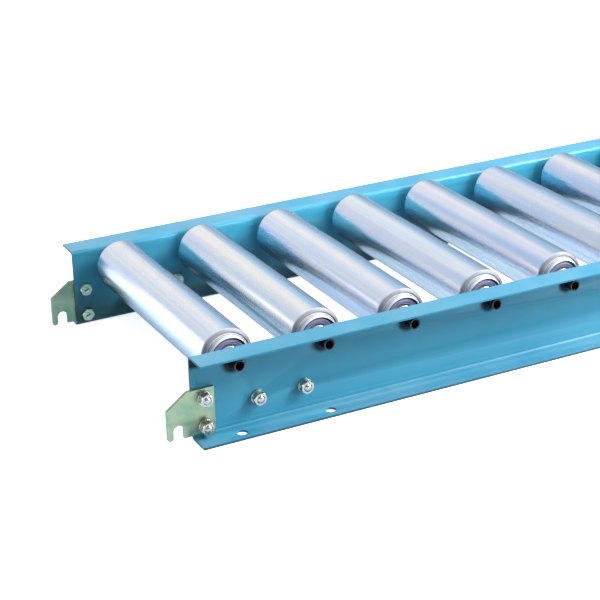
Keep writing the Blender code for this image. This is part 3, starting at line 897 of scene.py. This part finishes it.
def seal_mesh():
    """Dished plastic ring with a shallow step in its face, outlined like the cup."""
    outline = [(20.2, -4.9, 0.2), (19.0, -4.6, 0.3), (18.7, -2.1, 0.5), (16.6, -1.7, 0.3),
               (16.2, -2.1, 0.2), (13.9, -1.9, 0.5), (13.5, -3.4, 0.3), (12.5, -3.5, 0.2),
               (12.5, -5.4, 0.2), (20.2, -5.6, 0.2)]
    profile = [(r * MM, z * MM, f * MM) for r, z, f in outline]
    return lathe("bearing_seal", fillet(profile, TURNED_EDGE, 4), SEAL, steps=96, sharp=28)


def race_mesh():
    """Inner race: bright ring round the axle with a ball groove behind."""
    hole = AXLE_RADIUS + RACE_CLEARANCE
    groove = arc((BALL_TRACK_RADIUS, -BALL_DEPTH), BALL_RADIUS + RACE_CLEARANCE, 130, 230, 10)
    outline = [(hole, -RACE_FACE_DEPTH, 0.4 * MM), (RACE_NECK_RADIUS, -RACE_FACE_DEPTH, 0.8 * MM),
               (RACE_NECK_RADIUS, -RACE_GROOVE_DEPTH, 0.2 * MM)]
    outline += [(r, z, 0.0) for r, z in groove]
    outline += [(RACE_NECK_RADIUS, -RACE_BACK_DEPTH, 0.2 * MM), (hole, -RACE_BACK_DEPTH, 0.2 * MM)]
    return lathe("inner_race", fillet(outline, TURNED_EDGE, 4), RACE, steps=72, sharp=40)


def balls_mesh():
    form = bmesh.new()
    for k in range(BALL_COUNT):
        angle = 2 * math.pi * k / BALL_COUNT
        place = Matrix.Translation((BALL_TRACK_RADIUS * math.cos(angle),
                                    BALL_TRACK_RADIUS * math.sin(angle), -BALL_DEPTH))
        bmesh.ops.create_uvsphere(form, u_segments=16, v_segments=10, radius=BALL_RADIUS,
                                  matrix=place)
    return finish_mesh(form, "bearing_balls", RACE, sharp=60)


def axle_mesh():
    """Hollow axle with swaged collars and a dark bore."""
    half = size("axle_01").y / 2
    collar = WEB_INNER - COLLAR_INSET
    outer = [(AXLE_BORE_RADIUS, half - 0.6 * MM, 0.1 * MM),
             (AXLE_BORE_RADIUS + 0.5 * MM, half, 0.1 * MM), (AXLE_RADIUS, half, 0.5 * MM),
             (AXLE_RADIUS, collar + COLLAR_HALF, 0.3 * MM),
             (AXLE_RADIUS + COLLAR_RISE, collar, 0.6 * MM),
             (AXLE_RADIUS, collar - COLLAR_HALF, 0.3 * MM)]
    outline = outer + [(r, -z, f) for r, z, f in reversed(outer)]
    mesh = lathe("axle", fillet(outline, TURNED_EDGE, 4), AXLE, steps=48, sharp=40)
    mesh.materials.append(BORE)
    for face in mesh.polygons:
        reach = math.hypot(face.center.x, face.center.y)
        if reach < AXLE_BORE_RADIUS + 0.45 * MM:
            face.material_index = 1
    return mesh


def rollers():
    """Tubes, axles and bearings. Each roller is a quarter turn on from the last."""
    tube, cup, seal, race = tube_mesh(), cup_mesh(), seal_mesh(), race_mesh()
    balls, axle = balls_mesh(), axle_mesh()
    for number, (tag, x) in enumerate(zip(ROLLERS, ROLLER_X)):
        body = f"roller_{tag}"
        spin = number * math.pi / 2
        piece(f"roller_tube_{tag}_steel", tube, body,
              along_y(x, 0.0, AXLE_Z, 1, spin), [f"roller_tube_{tag}"])
        piece(f"axle_{tag}_pipe", axle, "frame",
              along_y(x, 0.0, AXLE_Z, 1, spin), [f"axle_{tag}"])
        for label, side in SIDES:
            end = along_y(x, side * ROLLER_HALF, AXLE_Z, side, spin)
            piece(f"bearing_{label}_{tag}_cup", cup, body, end,
                  [f"bearing_{label}_{tag}"])
            piece(f"bearing_{label}_{tag}_seal", seal, body, end)
            piece(f"bearing_{label}_{tag}_balls", balls, body, end)
            piece(f"inner_race_{label}_{tag}", race, "frame", end)


# ---------- fasteners

def nut_mesh(name, radius, flats, height):
    """Nut from z = 0, chamfered both faces, with a countersunk hole."""
    hole = radius * NUT_HOLE
    mouth = radius * NUT_MOUTH
    sink = mouth - hole
    rows = [(round_reach(hole), sink), (round_reach(mouth), 0.0)]
    rows += hex_rows(flats, 0.0, height)
    rows += [(round_reach(mouth), height), (round_reach(hole), height - sink)]
    rings = []
    for k in range(HEX_STEPS):
        angle = 2 * math.pi * k / HEX_STEPS
        ring = []
        for reach, z in rows:
            r = reach(angle)
            ring.append((r * math.cos(angle), r * math.sin(angle), z(angle) if callable(z) else z))
        rings.append(ring)
    return sweep(name, rings, NUTS, sharp=25)


def spring_washer_mesh():
    """Split ring, its two ends apart in height."""
    inner, outer = M8_RADIUS + WASHER_GAP, M8_WASHER_RADIUS
    section = fillet([(inner, 0.0), (outer, 0.0), (outer, M8_WASHER_HEIGHT),
                      (inner, M8_WASHER_HEIGHT)], TURNED_EDGE, 3)
    rings = []
    for k in range(WASHER_STEPS + 1):
        share = k / WASHER_STEPS
        angle = math.radians(WASHER_SPLIT / 2 + (360 - WASHER_SPLIT) * share)
        rise = (share - 0.5) * WASHER_RISE
        ring = []
        for r, z in section:
            slanted = angle + (z / M8_WASHER_HEIGHT - 0.5) * WASHER_SLANT
            ring.append((r * math.cos(slanted), r * math.sin(slanted), z + rise))
        rings.append(ring)
    return sweep("spring_washer", rings, NUTS, sharp=40, closed=False)


def shank_mesh(name, radius, pitch, thread, end):
    """Plain shank, threaded from thread to its chamfered end."""
    rows = [(round_reach(radius), SHANK_START), (round_reach(radius), thread)]
    rows += threaded_rows(radius, pitch, thread + 0.1 * MM, end)
    return solid_lathe(name, rows, NUTS, steps=64, sharp=50)


def m8_shank_mesh(name, thread, end):
    return shank_mesh(name, M8_RADIUS, M8_PITCH, thread, end)


def cross_cutters(top):
    """Two tapered bars that cut a cross recess into a head's top."""
    cutters = []
    for turn in (0.0, math.pi / 2):
        form = bmesh.new()
        bmesh.ops.create_cube(form, size=1.0)
        for vert in form.verts:
            above = vert.co.z > 0
            long, wide = RECESS_TOP if above else RECESS_FOOT
            vert.co.x *= long
            vert.co.y *= wide
            vert.co.z = top + RECESS_OVERSHOOT if above else top - RECESS_DEPTH
        cutters.append(helper("recess", mesh_of(form, "recess"), Matrix.Rotation(turn, 4, "Z")))
    return cutters


def hex_head_mesh(name, flats, height, cross):
    """Head from its seat at z = 0."""
    seat = round_reach(flats * HEAD_SEAT_SHARE)
    rows = [(seat, 0.0), (seat, HEAD_SEAT)]
    rows += hex_rows(flats, HEAD_SEAT, height, chamfer_low=False)
    mesh = solid_lathe(name, rows, HEADS, steps=HEX_STEPS, sharp=25)
    return cut_mesh(mesh, cross_cutters(height), sharp=25) if cross else mesh


def truss_head_mesh():
    """Low domed head from its seat at z = 0."""
    rows = [(round_reach(TRUSS_RADIUS - 0.5 * MM), 0.0), (round_reach(TRUSS_RADIUS), TRUSS_RIM)]
    for k in range(9):
        angle = math.radians(10 + 80 * k / 8)
        rows.append((round_reach(TRUSS_RADIUS * math.cos(angle) + TRUSS_TIP),
                     TRUSS_RIM + (TRUSS_HEIGHT - TRUSS_RIM) * math.sin(angle)))
    mesh = solid_lathe("truss_head", rows, HEADS, steps=72, sharp=32)
    return cut_mesh(mesh, cross_cutters(TRUSS_HEIGHT), sharp=32)


def fasteners():
    """Screws, spring washers and nuts, each at its own turn."""
    head = hex_head_mesh("hex_head", M8_FLATS, M8_HEAD_HEIGHT, True)
    truss = truss_head_mesh()
    washer = spring_washer_mesh()
    nut = nut_mesh("m8_nut", M8_RADIUS, M8_FLATS, M8_NUT_HEIGHT)
    turn = FIRST_TURN

    def outside(stem, x, side, z, seat):
        """Washer and nut on the outer side, from the seat outward."""
        nonlocal turn
        turn += TURN_STEP
        piece(f"{stem}_washer", washer, "frame",
              along_y(x, side * (seat + WASHER_GAP), z, side, turn))
        piece(f"{stem}_nut", nut, "frame",
              along_y(x, side * (seat + M8_WASHER_HEIGHT + GAP), z, side, 1.7 * turn))

    def bolt(name, x, side, z, seat, head_mesh, shank):
        """Shank through the web, head on its inner face, washer and nut outside."""
        piece(f"{name}_shank", shank, "frame",
              along_y(x, side * WEB_INNER, z, side, 0.8 * turn), [name])
        piece(f"{name}_head", head_mesh, "frame",
              along_y(x, side * (WEB_INNER - HEAD_GAP), z, -side, 1.3 * turn))
        outside(name, x, side, z, seat)

    reach = M8_WASHER_HEIGHT + M8_NUT_HEIGHT + GAP + TIP
    hook_seat = size("hook_plate_left").y + SHEET + GAP
    stand_shank = m8_shank_mesh("stand_shank", STAND_PLAIN, SHEET + reach)
    hook_shank = m8_shank_mesh("hook_shank", HOOK_PLAIN, hook_seat + reach)
    for label, side in SIDES:
        for end, x in zip(ENDS, STAND_X):
            bolt(f"stand_bolt_{label}_{end}", x, side, TIE_Z, WEB_OUTER, truss, stand_shank)
        for level, place in HOOK_BOLTS:
            bolt(f"hook_bolt_{label}_{level}", place.x, side, place.z,
                 WEB_INNER + hook_seat, head, hook_shank)

    rod = tie_rod_mesh(WEB_OUTER + reach)
    pipe = stay_pipe_mesh()
    for end, x in zip(ENDS, TIE_X):
        piece(f"tie_rod_{end}_rod", rod, "frame", along_y(x, 0.0, TIE_Z),
              [f"tie_rod_{end}"])
        piece(f"stay_pipe_{end}_tube", pipe, "frame", along_y(x, 0.0, TIE_Z),
              [f"stay_pipe_{end}"])
        for label, side in SIDES:
            outside(f"tie_rod_{end}_{label}", x, side, TIE_Z, WEB_OUTER)
    coupling_studs()


def tie_rod_mesh(end):
    """Rod through both webs, threaded at each end."""
    start = WEB_INNER - ROD_THREAD
    upper = threaded_rows(M8_RADIUS, M8_PITCH, start, end)
    lower = []
    for reach, z in reversed(upper):
        lower.append((lambda angle, reach=reach: reach(-angle), -z))
    plain = start - 0.1 * MM
    smooth = [(round_reach(M8_RADIUS), -plain), (round_reach(M8_RADIUS), plain)]
    return solid_lathe("tie_rod", lower + smooth + upper, NUTS, steps=64, sharp=50)


def stay_pipe_mesh():
    half = size("stay_pipe_1").y / 2
    outer = size("stay_pipe_1").z / 2
    inner = outer - STAY_WALL
    outline = [(outer, half), (outer, -half), (inner, -half), (inner, half)]
    return lathe("stay_pipe", fillet(outline, TURNED_EDGE, 3), PAINT, steps=64, sharp=40)


def coupling_studs():
    """M10 studs that the next section's hooks drop onto."""
    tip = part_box("coupling_stud_left")[1].y - WEB_INNER
    seat = tip - STUD_TIP - M10_NUT_HEIGHT
    nut = nut_mesh("m10_nut", M10_RADIUS, M10_FLATS, M10_NUT_HEIGHT)
    head = hex_head_mesh("stud_head", M10_FLATS, M10_HEAD_HEIGHT, False)
    shank = shank_mesh("stud_shank", M10_RADIUS, M10_PITCH, seat - STUD_RUN_OUT, tip)
    for number, (label, side) in enumerate(SIDES):
        name = f"coupling_stud_{label}"
        piece(name + "_shank", shank, "frame",
              along_y(STUD_X, side * WEB_INNER, STUD_Z, side), [name])
        piece(name + "_head", head, "frame",
              along_y(STUD_X, side * (WEB_INNER - HEAD_GAP), STUD_Z, -side, 0.4 + number))
        piece(name + "_nut", nut, "frame",
              along_y(STUD_X, side * (WEB_INNER + seat), STUD_Z, side, 1.1 + number))


# ---------- studio

def floor():
    """Floor that is near white to the camera and sends little light back up."""
    made, tree, shader = new_material("studio_floor")
    grain = noise(tree, node(tree, "TexCoord").outputs["Object"], 3.0, 3.0)
    pale = ramp(tree, grain, [(0.3, FLOOR_DEEP), (0.7, FLOOR_LIGHT)])
    ray = node(tree, "LightPath").outputs
    socket(tree, mix(tree, ray["Is Diffuse Ray"], pale, FLOOR_BOUNCE),
           shader.inputs["Base Color"])
    glow = mix(tree, ray["Is Glossy Ray"], (0.0, 0.0, 0.0), FLOOR_GLOW_IN_METAL)
    glow = mix(tree, ray["Is Camera Ray"], glow, (FLOOR_GLOW, FLOOR_GLOW, FLOOR_GLOW))
    socket(tree, glow, shader.inputs["Emission Color"])
    shader.inputs["Emission Strength"].default_value = 1.0
    shader.inputs["Roughness"].default_value = 0.9
    shader.inputs["Specular IOR Level"].default_value = 0.0
    form = bmesh.new()
    bmesh.ops.create_grid(form, x_segments=1, y_segments=1, size=FLOOR_HALF)
    mesh = mesh_of(form, "studio_floor")
    mesh.materials.append(made)
    helper("studio_floor", mesh, Matrix.Translation((0.0, 0.0, -FLOOR_DROP)))


def softbox(name, place, aim, width, height, power):
    """White area light that the camera doesn't see."""
    light = bpy.data.lights.new(name, "AREA")
    light.shape = "RECTANGLE"
    light.size, light.size_y = width, height
    light.energy = power
    item = helper(name, light)
    item.location = place
    item.visible_camera = False
    item.rotation_euler = (Vector(aim) - Vector(place)).to_track_quat("-Z", "Y").to_euler()
    return item


def surroundings():
    """Bright behind and above, dim in front, and plain white to the camera."""
    world = bpy.data.worlds.new("studio")
    bpy.context.scene.world = world
    world.use_nodes = True
    tree = world.node_tree
    look = node(tree, "TexCoord").outputs["Generated"]
    toward = split(tree, look)
    back = ramp(tree, spread(tree, toward["X"], 0.0, 1.0, -0.6, 0.6), BACK_GLOW)
    colour = mix(tree, spread(tree, toward["Y"], 0.0, 1.0, 0.0, 0.8), FRONT_GLOW, back)
    colour = mix(tree, spread(tree, toward["Z"], 0.0, 1.0, 0.68, 0.92), colour, CEILING_GLOW)
    seen = node(tree, "LightPath").outputs["Is Camera Ray"]
    colour = mix(tree, seen, colour, (1.0, 1.0, 1.0))
    socket(tree, colour, tree.nodes["Background"].inputs["Color"])


def studio():
    surroundings()
    softbox("key", place=(2.15, -1.32, 2.25), aim=(-0.1, 0.0, 0.05),
            width=1.5, height=1.3, power=163.0)
    softbox("low_right", place=(1.35, -1.6, 0.30), aim=(-0.2, -0.16, 0.05),
            width=0.22, height=0.18, power=16.0)
    softbox("left_fill", place=(-1.5, -1.9, 0.28), aim=(-0.3, -0.16, 0.05),
            width=0.8, height=0.3, power=6.0)
    far_web = softbox("far_web_strip", place=(0.20, -0.152, 0.135), aim=(0.20, 0.16, 0.125),
                      width=1.2, height=0.03, power=0.42)
    far_web.data.spread = math.radians(30)
    softbox("left_card", place=(-1.24, 0.42, 0.17), aim=(-0.74, -0.40, 0.10),
            width=1.0, height=0.34, power=0.92)
    bpy.context.scene.view_settings.view_transform = "Standard"


def camera():
    """The photograph's viewpoint: from the hook end's right, looking down."""
    azimuth = math.radians(CAMERA_AZIMUTH)
    elevation = math.radians(CAMERA_ELEVATION)
    back = Vector((math.sin(azimuth) * math.cos(elevation),
                   -math.cos(azimuth) * math.cos(elevation), math.sin(elevation)))
    right = Vector((math.cos(azimuth), math.sin(azimuth), 0.0))
    axes = Matrix((right, back.cross(right), back)).transposed().to_4x4()
    target = Vector((HOOK_END, 0.0, 0.0)) + Vector(CAMERA_TARGET)
    data = bpy.data.cameras.new("camera")
    data.sensor_width = CAMERA_SENSOR
    data.lens = CAMERA_LENS
    roll = Matrix.Rotation(math.radians(CAMERA_ROLL), 4, "Z")
    place = Matrix.Translation(target + CAMERA_DISTANCE * back)
    bpy.context.scene.camera = helper("camera", data, place @ axes @ roll)


for label, side in SIDES:
    side_channel(label, side)
    hook_plate(label)
rollers()
fasteners()
floor()
studio()
camera()
